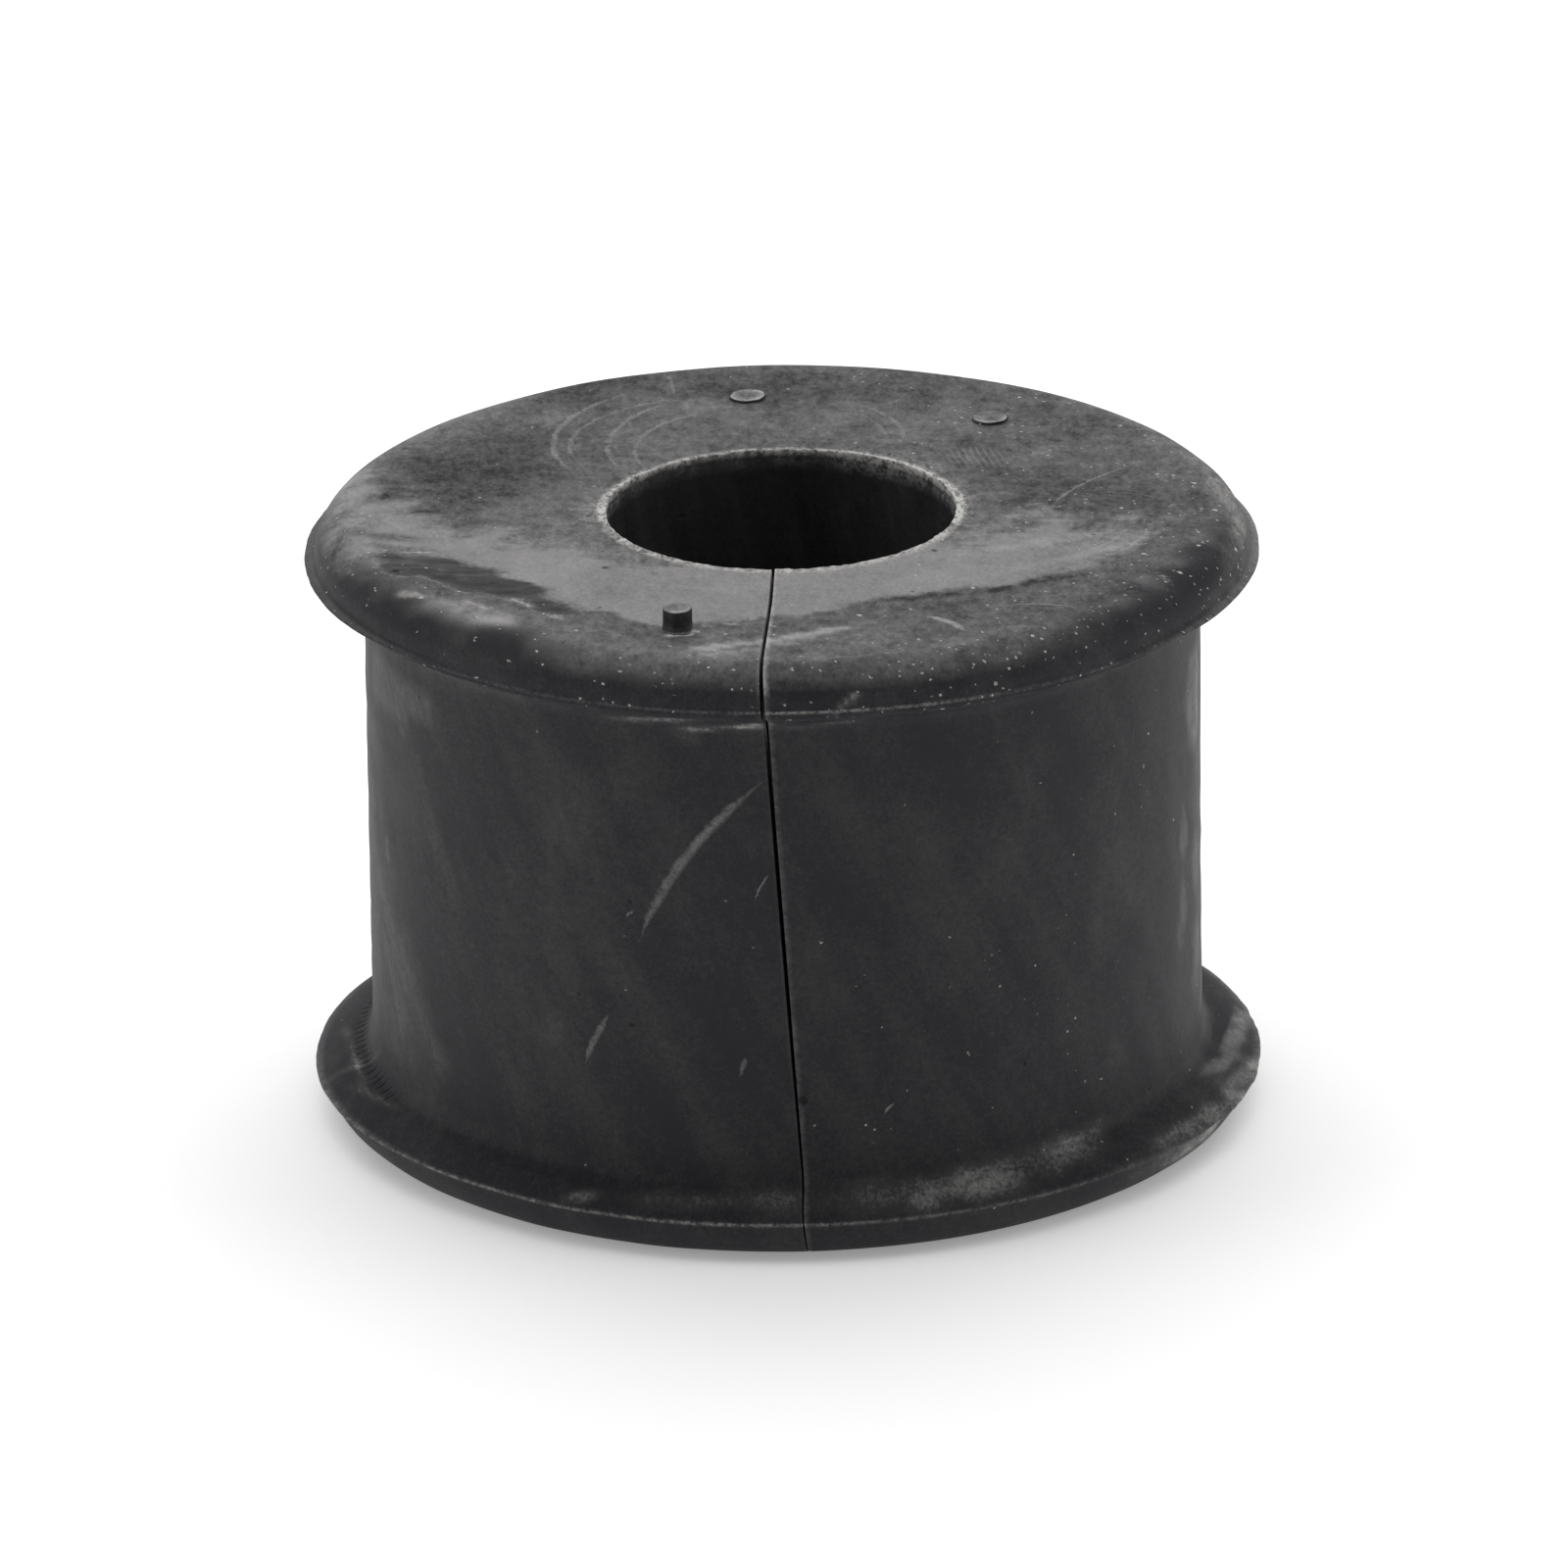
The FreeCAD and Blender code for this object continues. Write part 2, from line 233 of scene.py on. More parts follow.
def makeBushing(values):
    # the section, mirrored below its middle, turned round the bore from wall to wall of the cut
    end = endSection(values)
    upper = end.copy()
    upper[:, 1] = height - end[:, 1]
    lower = end[::-1].copy()
    section = np.concatenate([upper, lower[1:]])
    isUpper = np.arange(len(section)) < len(upper)
    radius, up, lip, flash = section.T

    # distance travelled along the section from the upper bore edge, for the cut
    step = np.hypot(np.diff(radius, prepend=radius[0]), np.diff(up, prepend=up[0]))
    travel = np.cumsum(step)
    edgeRow = int(np.argmax(flash > 0.5))
    travel = travel - travel[edgeRow]
    inBore = (radius < boreRadius + 0.01)
    cutTravel = np.where(inBore, np.clip((height - up) * 1.5, 0.0, 60.0), travel)
    underside = (up < 0.01) & ~inBore
    cutTravel = np.where(underside, 62.0, cutTravel)
    start, finish = cutWalls(radius, up, cutTravel)

    # columns stand closer beside the cut
    near = np.array([0.0, 0.16, 0.45, 0.85, 1.35])
    plain = np.linspace(2.0, 358.0, values["columns"])
    turn = np.concatenate([near, plain, 360.0 - near[::-1]]) / 360.0
    angle = start[:, None] + (finish - start)[:, None] * turn[None, :]
    count = angle.shape[1]
    ring = np.repeat(radius[:, None], count, 1)
    rise = np.repeat(up[:, None], count, 1)

    # lip: long at the sides, trimmed at the front, with a torn edge
    side = np.abs(np.cos(angle))
    reach = 0.07 + (lipReach - 0.1) * softStep(side, 0.62, 0.97)
    reach += 0.14 * bumpAt(angle, 90.0, 50.0)
    torn = 0.04 * aroundNoise(angle, 5, 40, 3) + 0.012 * aroundNoise(angle, 60, 120, 4)
    tornLow = 0.07 * aroundNoise(angle, 5, 50, 5) + 0.03 * aroundNoise(angle, 50, 130, 6)
    ragged = np.where(isUpper[:, None], torn, tornLow * (0.4 + 1.2 * bumpAt(angle, -8.0, 30.0)))
    reach = np.clip(reach * (1.0 + ragged), 0.03, lipReach)
    ring += lip[:, None] * reach
    sag = values["lipSag"] * aroundNoise(angle, 2, 9, 7)
    rise += lip[:, None] * sag

    # torn rubber round the bore's edges, only at the upper end
    tear = 0.35 + 0.16 * aroundNoise(angle, 4, 30, 8) + 0.12 * aroundNoise(angle, 40, 110, 9)
    tear += 0.6 * bumpAt(angle, 48.0, 24.0) + 0.5 * bumpAt(angle, 178.0, 16.0)
    tear += 0.5 * bumpAt(angle, 5.0, 18.0)
    tear = np.clip(tear, 0.08, 1.6) * isUpper[:, None]
    rise += flash[:, None] * tear * values["boreFlashHeight"]
    ring -= flash[:, None] * np.clip(tear - 0.5, 0.0, 1.0) * 0.12

    # the rubber isn't quite true: slow waves in the sleeve, the face and the rims
    outX, outZ = sectionNormals(ring, rise)
    onSleeve = (radius > boreRadius + 1.0).astype(float)[:, None]
    waves = values["longWave"] * aroundNoise(angle + 0.02 * rise, 2, 7, 12)
    waves += values["shortWave"] * aroundNoise(angle + 0.11 * rise, 9, 22, 13)
    lifted = (up > 0.2).astype(float)[:, None]
    ring += outX * waves * onSleeve
    rise += outZ * waves * onSleeve * lifted * 0.6

    # both edges of the cut are worn down, and the right one has a slight burr above
    drop = np.zeros(count)
    drop[[0, -1]] = values["slitEdgeDrop"]
    drop[[1, -2]] = values["slitEdgeDrop"] * 0.25
    ring -= outX * drop[None, :]
    rise -= outZ * drop[None, :] * lifted
    burr = np.zeros(count)
    burr[[1, 2]] = values["burr"]
    onFace = ((up > height - 0.01) & (radius > boreRadius + 0.3)).astype(float)[:, None]
    rise += burr[None, :] * onFace

    x = ring * np.cos(angle)
    y = ring * np.sin(angle)
    z = np.clip(rise, 0.0, None)
    rows = len(section)
    points = np.stack([x, y, z], axis=2).reshape(-1, 3)

    # four corners of each face: along the section first, so that it faces outwards
    i = np.arange(rows)[:, None]
    j = np.arange(count - 1)[None, :]
    after = (i + 1) % rows
    quads = np.stack([i * count + j, after * count + j, after * count + j + 1,
                      i * count + j + 1], axis=2).reshape(-1, 4)
    faces = quads.tolist()
    faces.append((np.arange(rows)[::-1] * count).tolist())
    faces.append((np.arange(rows) * count + count - 1).tolist())

    mesh = bpy.data.meshes.new("bushing")
    mesh.from_pydata((points * mm).tolist(), [], faces)
    mesh.polygons.foreach_set("use_smooth", np.ones(len(faces), dtype=bool))
    mesh.polygons[-1].use_smooth = False
    mesh.polygons[-2].use_smooth = False
    piece = bpy.data.objects.new("bushing", mesh)
    bpy.context.collection.objects.link(piece)
    grid = {"angle": angle, "radius": ring, "up": rise, "lip": lip, "travel": travel,
            "x": x, "y": y, "z": z, "isUpper": isUpper, "tear": tear}
    return piece, grid


# What lies on the rubber, as smooth values that the material cuts to shape. Each patch is an
# ellipse: across, along, half length, half width, turn, level, softness.
facePatches = {
    "film": [
        (-19.8, 8.3, 8.6, 4.4, 72.0, -0.17, 0.5),
        (-12.3, 23.8, 4.0, 1.4, 18.0, -0.14, 0.5),
        (-20.4, 17.6, 8.0, 1.5, 48.0, 0.12, 0.5),
        (-25.9, -1.0, 8.0, 2.6, 98.0, 0.06, 0.5),
        (-24.6, -4.0, 2.0, 0.6, -18.0, -0.42, 0.6),
        (-23.8, -6.2, 2.2, 0.35, -20.0, -0.34, 0.6),
        (-25.6, 3.6, 2.6, 0.8, 60.0, -0.20, 0.6),
        (-14.3, 17.6, 2.4, 1.3, 20.0, 0.14, 0.6),
        (-5.0, 19.6, 1.8, 1.2, 0.0, 0.16, 0.6),
        (-7.0, 24.0, 9.0, 2.2, 8.0, -0.04, 0.5),
        (3.0, 22.5, 7.0, 3.2, -4.0, -0.10, 0.6),
        (13.0, 19.0, 8.0, 2.4, -28.0, -0.03, 0.5),
        (20.8, 1.5, 7.5, 4.2, -25.0, -0.13, 0.6),
        (25.2, 8.6, 7.5, 1.6, 113.0, 0.06, 0.5),
        (27.0, -9.5, 7.0, 1.9, 66.0, -0.16, 0.4),
        (22.4, -14.2, 6.5, 1.6, 47.0, -0.10, 0.4),
        (-20.0, -17.3, 4.2, 1.5, -42.0, 0.34, 0.35),
        (-17.6, -20.0, 1.6, 0.8, -20.0, 0.22, 0.4),
        (-24.6, -16.0, 5.0, 1.6, -52.0, -0.10, 0.5),
        (-11.5, -24.6, 6.5, 1.3, -16.0, 0.05, 0.5),
        (-3.6, -24.3, 2.8, 0.40, 15.0, 0.70, 0.5),
        (-3.0, -25.4, 2.2, 0.26, 14.0, 0.26, 0.5),
        (2.1, -22.2, 3.2, 0.44, 27.0, 0.60, 0.5),
        (1.0, -23.8, 1.4, 0.30, 10.0, 0.50, 0.5),
        (3.6, -24.8, 2.6, 0.20, 28.0, 0.12, 0.5),
        (22.9, -13.9, 1.9, 0.7, 118.0, 0.40, 0.5),
        (8.5, -16.3, 5.5, 0.30, 12.0, -0.34, 0.5),
        (15.2, -14.0, 3.6, 0.26, 27.0, -0.34, 0.5),
        (17.0, -6.0, 7.0, 0.6, 22.0, 0.14, 0.6),
        (19.5, -8.4, 5.0, 0.5, 30.0, 0.14, 0.6),
        (15.5, -1.6, 4.0, 0.5, 10.0, 0.12, 0.6),
    ],
    "chalk": [
        (-16.2, -16.2, 1.2, 0.42, -46.0, 0.95, 0.6),
        (-13.9, -18.9, 1.2, 0.30, -50.0, 0.80, 0.6),
        (-22.5, -14.7, 1.3, 0.42, -30.0, 0.85, 0.6),
        (-18.4, -17.0, 2.2, 0.30, -40.0, 0.70, 0.6),
        (-20.8, -10.6, 3.0, 0.16, -46.0, 0.42, 0.6),
        (-12.6, -2.2, 2.4, 0.9, -12.0, 0.22, 0.6),
        (-12.4, 0.6, 1.4, 2.6, 0.0, 0.40, 0.7),
        (-9.6, -8.2, 2.4, 0.7, -38.0, 0.46, 0.6),
        (9.2, 8.6, 2.6, 0.7, -40.0, 0.40, 0.6),
        (4.2, -21.2, 1.2, 0.20, 27.0, 0.50, 0.6),
        (14.6, -21.8, 1.2, 0.22, 8.0, 0.50, 0.6),
        (23.6, -12.9, 0.9, 0.22, 118.0, 0.80, 0.6),
        (-1.8, -19.6, 0.6, 0.20, 60.0, 0.60, 0.6),
        (-3.4, -20.5, 1.6, 0.16, 10.0, 0.90, 0.6),
        (-5.4, -21.9, 0.5, 0.26, 40.0, 1.30, 0.5),
        (-6.5, -22.4, 0.9, 0.14, 2.0, 1.10, 0.5),
        (-26.7, -9.4, 1.6, 0.22, 120.0, 0.36, 0.6),
        (20.5, -1.0, 3.4, 0.5, 40.0, 0.24, 0.7),
        (28.0, 2.0, 7.5, 0.9, 104.0, 0.62, 0.7),
        (28.2, -5.0, 3.6, 0.5, 82.0, 0.46, 0.8),
    ],
}

# on the outside: millimetres round the sleeve from the cut, and height; the long upright bands
# along the sleeve's left and right edges are painted edge light
sidePatches = {
    "film": [
        (-31.0, 30.9, 5.6, 1.6, 4.0, 0.40, 0.25),
        # painted edge light: a long upright band along the sleeve's left edge
        (-38.8, 20.0, 15.0, 3.2, 90.0, 0.26, 0.7),
        (-32.0, 12.5, 6.6, 3.4, 118.0, 0.20, 0.7),
        (-26.2, 24.0, 4.6, 0.8, 118.0, 0.10, 0.6),
        (-23.8, 34.3, 8.0, 0.8, 5.0, 0.10, 0.6),
        (-12.9, 27.6, 7.5, 1.5, 43.0, 0.07, 0.6),
        (-12.0, 22.0, 9.0, 6.5, 60.0, 0.05, 0.7),
        (-15.3, 13.2, 1.0, 0.7, 70.0, 0.10, 0.6),
        (-25.2, 8.1, 1.0, 0.8, 0.0, 0.12, 0.5),
        (14.6, 25.4, 5.5, 1.6, 60.0, 0.07, 0.5),
        (22.0, 25.6, 2.2, 1.4, 90.0, 0.07, 0.5),
        (23.6, 20.5, 4.6, 2.4, 70.0, 0.08, 0.6),
        # painted edge light: these two long upright bands run along the sleeve's right edge
        (31.0, 19.0, 14.0, 4.2, 90.0, 0.07, 0.7),
        (39.2, 20.0, 14.0, 2.6, 90.0, 0.18, 0.6),
        (35.6, 28.0, 2.8, 1.9, 84.0, 0.80, 0.4),
        (32.9, 20.0, 1.6, 0.70, 84.0, 0.50, 0.5),
        (36.2, 17.2, 1.9, 1.10, 84.0, 0.60, 0.5),
        (32.5, 14.9, 2.1, 0.80, 84.0, 0.45, 0.5),
        (36.4, 11.0, 2.2, 1.30, 84.0, 0.55, 0.5),
        (39.0, 36.3, 8.0, 0.9, 0.0, 0.40, 0.6),
        (23.5, 8.7, 1.2, 0.9, 20.0, 0.10, 0.4),
        (31.0, 1.6, 7.0, 0.9, 4.0, 0.14, 0.5),
        # painted shade: this patch darkens the sleeve low on its left side
        (-38.0, 4.6, 5.0, 1.3, 0.0, -0.10, 0.5),
    ],
    "chalk": [
        (-12.3, 3.2, 0.9, 0.20, 10.0, 0.50, 0.9),
        (-4.6, 3.6, 4.2, 0.28, 2.0, 0.32, 0.9),
        (7.0, 3.7, 6.5, 0.50, 0.0, 0.36, 0.9),
        (13.6, 3.8, 6.0, 0.52, 3.0, 0.40, 0.9),
        (19.4, 4.1, 2.2, 0.50, 10.0, 0.42, 0.8),
        (39.0, 35.4, 8.0, 0.5, 0.0, 0.55, 0.9),
        # painted edge light: a thin upright band along the sleeve's right edge
        (37.6, 20.0, 14.0, 1.0, 90.0, 0.26, 0.8),
        (-16.0, 35.1, 1.4, 0.20, 6.0, 0.60, 0.6),
        (-3.2, 34.3, 2.8, 0.20, 6.0, 0.90, 0.8),
        (2.2, 34.5, 2.6, 0.16, 5.0, 0.42, 0.6),
        (-8.0, 34.6, 3.0, 0.20, 6.0, 0.60, 0.6),
        (-20.0, 35.0, 3.0, 0.18, 6.0, 0.50, 0.8),
        (3.9, 37.3, 1.4, 0.20, 42.0, 0.70, 0.7),
        (33.6, 2.2, 5.0, 0.40, 6.0, 0.50, 0.6),
        (-36.2, 4.4, 2.2, 0.35, 60.0, 0.34, 0.7),
        # painted edge light: a short upright band on the sleeve's right edge
        (38.8, 31.5, 5.0, 0.6, 90.0, 0.22, 0.7),
    ],
}

# on the lower flange's inner slope, seen from above: x and y
slopePatches = {
    "film": [
        (28.4, -0.6, 5.4, 0.55, 80.0, 1.10, 0.5),
        (27.4, -6.0, 2.4, 0.45, 62.0, 0.80, 0.5),
        (28.9, -5.6, 3.6, 0.40, 74.0, 0.55, 0.6),
        (27.6, 0.6, 4.2, 0.32, 84.0, -0.60, 0.5),
        # painted shade: this patch darkens the slope on the left
        (-27.0, -6.0, 8.0, 1.2, 105.0, -0.08, 0.6),
    ],
    "chalk": [
        (25.6, -14.0, 6.5, 0.45, 57.0, 0.60, 0.8),
        (28.6, -6.4, 3.6, 0.35, 70.0, 0.50, 0.8),
        (28.8, 3.0, 4.0, 0.35, 92.0, 0.45, 0.8),
        (-27.4, -3.6, 4.8, 0.24, 98.0, 0.55, 0.9),
        (-26.0, -10.0, 2.6, 0.24, 122.0, 0.45, 0.9),
    ],
}

# outline of the worn plateau: radius by angle in front, a line across the face behind with
# its softness, and the two ends as x and slope
plateauEdge = {
    "angles": (-200.0, -168.0, -163.0, -158.0, -155.0, -149.0, -143.0, -137.0, -130.0, -120.0,
               -112.0, -108.0, -99.0, -91.0, -76.0, -61.0, -50.0, -35.0, -27.0, -16.0, 0.0),
    "radii": (31.0, 31.0, 29.6, 26.6, 24.4, 22.4, 21.5, 21.4, 21.2, 21.4,
              22.4, 21.6, 20.2, 19.3, 18.0, 17.6, 19.2, 21.3, 22.4, 23.8, 24.2),
    "rearX": (-29.0, -26.0, -23.0, -20.0, -14.5, -11.7, -8.9, 11.2, 13.7, 16.7, 19.8, 24.0),
    "rearY": (16.0, 9.0, 1.0, -2.6, -4.8, -7.4, -9.8, -5.2, -2.6, -1.8, -3.6, -4.4),
    "slopeX": (-25.0, -17.0, 4.0, 14.0),
    "slope": (0.08, 0.24, 0.24, 0.13),
    "rightEnd": (22.5, 0.09),
    "leftEnd": (-28.4, 0.12),
}

# dark bare places, ellipses as above without level and softness
darkLens = [
    (-19.4, -11.6, 6.6, 1.9, -42.0),
    (-14.6, -16.9, 2.6, 0.8, -48.0),
    (-23.4, -9.2, 2.4, 1.7, -60.0),
]

# outside this radius the bloom is rubbed off, by angle
bareEdge = {
    "angles": (-200.0, -172.0, -168.0, -161.0, -154.0, -148.0, -137.0, -131.0, -128.0, -125.0,
               -121.0, -115.0, -105.0, -80.0, -62.0, -45.0, -28.0, -17.0, -5.0, 6.0),
    "radii": (32.0, 31.0, 29.2, 28.0, 27.2, 27.2, 28.0, 27.6, 26.4, 26.4,
              28.2, 29.4, 30.0, 31.0, 30.0, 27.7, 26.2, 26.7, 28.8, 32.0),
}

# how white the parting lines are, by millimetres round the sleeve
lipWhite = {
    "places": (-82.0, -44.0, -36.0, -24.0, -14.0, -3.0, 0.0, 5.0, 14.0, 22.0, 30.0, 42.0, 82.0),
    "lower": (0.1, 0.15, 0.60, 1.00, 0.75, 0.90, 0.70, 0.50, 0.40, 0.15, 0.40, 0.50, 0.1),
    "upper": (0.1, 0.20, 0.10, 0.08, 0.14, 0.22, 0.90, 0.75, 0.18, 0.15, 0.50, 0.90, 0.1),
}


def patchDepth(across, along, patch):
    # how deep each point lies in an ellipse: 1 at its centre, 0 on its outline, less outside
    lean = math.radians(patch[4])
    aside = across - patch[0]
    ahead = along - patch[1]
    long = (aside * math.cos(lean) + ahead * math.sin(lean)) / patch[2]
    wide = (ahead * math.cos(lean) - aside * math.sin(lean)) / patch[3]
    return 1.0 - np.sqrt(long ** 2 + wide ** 2)


def patchSum(across, along, patches, uneven):
    # levels of all the patches, each with its own softness, added where they overlap
    total = np.zeros_like(across)
    for patch in patches:
        depth = patchDepth(across, along, patch) + uneven * 0.5
        total += patch[5] * softStep(depth, -patch[6], patch[6])
    return total


def setValues(piece, name, values):
    # one number to each point of the mesh, for the material to read
    layer = piece.data.attributes.new(name, "FLOAT", "POINT")
    layer.data.foreach_set("value", np.ascontiguousarray(values, dtype=np.float32).ravel())


def layMarks(piece, grid):
    # plateau: how far a point lies inside the worn area, with slower slopes at its two ends
    x, y, z = grid["x"], grid["y"], grid["z"]
    degrees = np.degrees(grid["angle"])
    degrees = np.where(degrees > 60.0, degrees - 360.0, degrees)
    edge = np.interp(degrees, plateauEdge["angles"], plateauEdge["radii"])
    onFace = grid["up"] > zones["faceMarks"]
    outside = grid["radius"] > boreRadius + zones["sleeve"][0]
    rear = np.interp(x, plateauEdge["rearX"], plateauEdge["rearY"]) - y
    rear = rear * np.interp(x, plateauEdge["slopeX"], plateauEdge["slope"])
    rightX, rightSlope = plateauEdge["rightEnd"]
    leftX, leftSlope = plateauEdge["leftEnd"]
    plateau = np.minimum(edge - grid["radius"], rear)
    plateau = np.minimum(plateau, (rightX - x) * rightSlope)
    plateau = np.minimum(plateau, (x - leftX) * leftSlope)
    plateau = plateau + 0.26 * waveNoise(x, y, 1.6, 41)
    setValues(piece, "plateau", np.where(onFace, plateau, -9.0))

    # bare places: inside the dark ellipses, and beyond the edge of the bloom on the shoulder
    lens = np.full(x.shape, -9.0)
    for patch in darkLens:
        lens = np.maximum(lens, patchDepth(x, y, patch) * patch[3])
    lens = lens + 0.25 * waveNoise(x, y, 1.2, 42)
    setValues(piece, "lens", np.where(onFace, lens, -9.0))
    bare = grid["radius"] - np.interp(degrees, bareEdge["angles"], bareEdge["radii"])
    bare = bare * 0.34 + 0.22 * waveNoise(x, y, 1.6, 45)
    setValues(piece, "rubbedOff", bare)

    # distance round the sleeve from the cut, in mm: left of it below 0
    around = (grid["angle"] + math.pi / 2) * bushing["sleeveRadius"]
    signed = np.where(around > aroundSleeve / 2, around - aroundSleeve, around)
    blotches = 0.5 * waveNoise(x, y, 1.5, 43)
    film = patchSum(x, y, facePatches["film"], blotches) * onFace
    chalk = patchSum(x, y, facePatches["chalk"], blotches) * onFace
    blotches = 0.5 * waveNoise(signed, z, 1.5, 44)
    film += patchSum(signed, z, sidePatches["film"], blotches) * outside * ~onFace
    chalk += patchSum(signed, z, sidePatches["chalk"], blotches) * outside * ~onFace
    below = outside * (z < 6.0)
    film += patchSum(x, y, slopePatches["film"], blotches) * below * (z > 2.4)
    chalk += patchSum(x, y, slopePatches["chalk"], blotches) * below
    setValues(piece, "filmLevel", film)
    setValues(piece, "chalkLevel", chalk)

    # torn rubber catches dust: the bore's edge and the parting lips
    tip = grid["lip"][:, None] ** 2 * np.ones_like(x)
    lower = np.interp(signed, lipWhite["places"], lipWhite["lower"])
    upper = np.interp(signed, lipWhite["places"], lipWhite["upper"])
    setValues(piece, "lipEdge", tip * np.where(grid["isUpper"][:, None], upper, lower))
    setValues(piece, "tear", np.where(onFace, grid["tear"], 0.0))

    # the right edge of the cut is made light, the left one hardly
    paleEdge = np.zeros(x.shape)
    paleEdge[:, :3] = (1.0, 1.0, 0.5)
    paleEdge[:, -2:] = (0.25, 0.25)
    setValues(piece, "cutEdge", paleEdge * (0.2 + 0.8 * onFace) * (grid["radius"] > boreRadius))

    # the bore keeps a thin even bloom
    inside = softStep(boreRadius + 0.3 - grid["radius"], 0.0, 0.3)
    setValues(piece, "inBore", inside * softStep(height - z, 0.1, 0.5))

    # the skin as one flat map, in mm round the sleeve and along the section
    chart = np.stack([around, np.repeat(grid["travel"][:, None], x.shape[1], 1),
                      np.zeros_like(x)], axis=2)
    layer = piece.data.attributes.new("skin", "FLOAT_VECTOR", "POINT")
    layer.data.foreach_set("vector", np.ascontiguousarray(chart, dtype=np.float32).ravel())


# shader maths written as sums
class Signal:
    # a socket that can be used in sums and products
    def __init__(self, wiring, socket):
        self.wiring = wiring
        self.socket = socket

    def __add__(self, other):
        return self.wiring.sum("ADD", self, other)

    def __radd__(self, other):
        return self.wiring.sum("ADD", other, self)

    def __sub__(self, other):
        return self.wiring.sum("SUBTRACT", self, other)

    def __rsub__(self, other):
        return self.wiring.sum("SUBTRACT", other, self)

    def __mul__(self, other):
        return self.wiring.sum("MULTIPLY", self, other)

    def __rmul__(self, other):
        return self.wiring.sum("MULTIPLY", other, self)

    def atLeast(self, other):
        return self.wiring.sum("MAXIMUM", self, other)

    def atMost(self, other):
        return self.wiring.sum("MINIMUM", self, other)

    def rising(self, low, high):
        # 0 up to low, 1 from high on
        return self.wiring.add("ShaderNodeMapRange", {"clamp": True}, {
            "Value": self, "From Min": low, "From Max": high})

    def falling(self, low, high):
        return self.wiring.add("ShaderNodeMapRange", {"clamp": True}, {
            "Value": self, "From Min": low, "From Max": high, "To Min": 1.0, "To Max": 0.0})


class Wiring:
    # the nodes of one material
    def __init__(self, material):
        self.tree = material.node_tree

    def add(self, kind, settings, sockets, output=0):
        node = self.tree.nodes.new(kind)
        for name, value in settings.items():
            setattr(node, name, value)
        for name, value in sockets.items():
            socket = node.inputs[name]
            if isinstance(value, Signal):
                self.tree.links.new(value.socket, socket)
            else:
                socket.default_value = value
        return Signal(self, node.outputs[output])

    def split(self, vector):
        # the three numbers of a vector
        node = self.add("ShaderNodeSeparateXYZ", {}, {0: vector}).socket.node
        return [Signal(self, socket) for socket in node.outputs]

    def join(self, *parts):
        return self.add("ShaderNodeCombineXYZ", {}, dict(enumerate(parts)))

    def sum(self, operation, first, second):
        return self.add("ShaderNodeMath", {"operation": operation}, {0: first, 1: second})

    def vector(self, operation, sockets, output=0):
        return self.add("ShaderNodeVectorMath", {"operation": operation}, sockets, output)

    def value(self, name):
        return self.add("ShaderNodeAttribute", {"attribute_name": name}, {}, "Fac")

    def noise(self, place, scale, detail=3.0, rough=0.55):
        return self.add("ShaderNodeTexNoise", {}, {
            "Vector": place, "Scale": scale, "Detail": detail, "Roughness": rough}, "Fac")

    def blend(self, share, first, second):
        node = self.tree.nodes.new("ShaderNodeMix")
        node.data_type = "RGBA"
        for name, value in ((0, share), (6, first), (7, second)):
            if isinstance(value, Signal):
                self.tree.links.new(value.socket, node.inputs[name])
            elif name:
                node.inputs[name].default_value = (*value, 1.0)
            else:
                node.inputs[name].default_value = value
        return Signal(self, node.outputs[2])

    def far(self, flat, centre):
        # distance from a point of the flat map
        return self.vector("DISTANCE", {0: flat, 1: (*centre, 0.0)}, "Value")

    def arc(self, flat, points, width):
        # nearness to the circle through three points, thinner towards its two ends
        (aX, aY), (bX, bY), (cX, cY) = points
        aa, bb, cc = aX ** 2 + aY ** 2, bX ** 2 + bY ** 2, cX ** 2 + cY ** 2
        double = 2.0 * (aX * (bY - cY) + bX * (cY - aY) + cX * (aY - bY))
        centreX = (aa * (bY - cY) + bb * (cY - aY) + cc * (aY - bY)) / double
        centreY = (aa * (cX - bX) + bb * (aX - cX) + cc * (bX - aX)) / double
        radius = math.hypot(aX - centreX, aY - centreY)
        half = max(math.hypot(aX - bX, aY - bY), math.hypot(cX - bX, cY - bY))
        gap = self.far(flat, (centreX, centreY)) - radius
        gap = self.sum("ABSOLUTE", gap, 0.0)
        reach = self.far(flat, (bX, bY))
        return (reach.falling(half * 0.5, half) * width - gap).rising(0.0, width * 0.6)

    def arcs(self, flat, strokes):
        # the strongest of a list of strokes: three points, width, strength
        strongest = None
        for points, width, strength in strokes:
            mark = self.arc(flat, points, width) * strength
            strongest = mark if strongest is None else strongest.atLeast(mark)
        return strongest

    def specks(self, place, scale, size, share):
        # dots of a radius in mm, one to a cell, in the share of the cells that is asked for
        cell = self.add("ShaderNodeTexVoronoi", {"feature": "F1"}, {
            "Vector": place, "Scale": scale}, "Distance")
        pick = self.add("ShaderNodeSeparateColor", {}, {
            0: Signal(self, cell.socket.node.outputs["Color"])}, 0)
        return cell.falling(size * scale * 0.6, size * scale) * (share - pick).rising(0.0, 0.02)


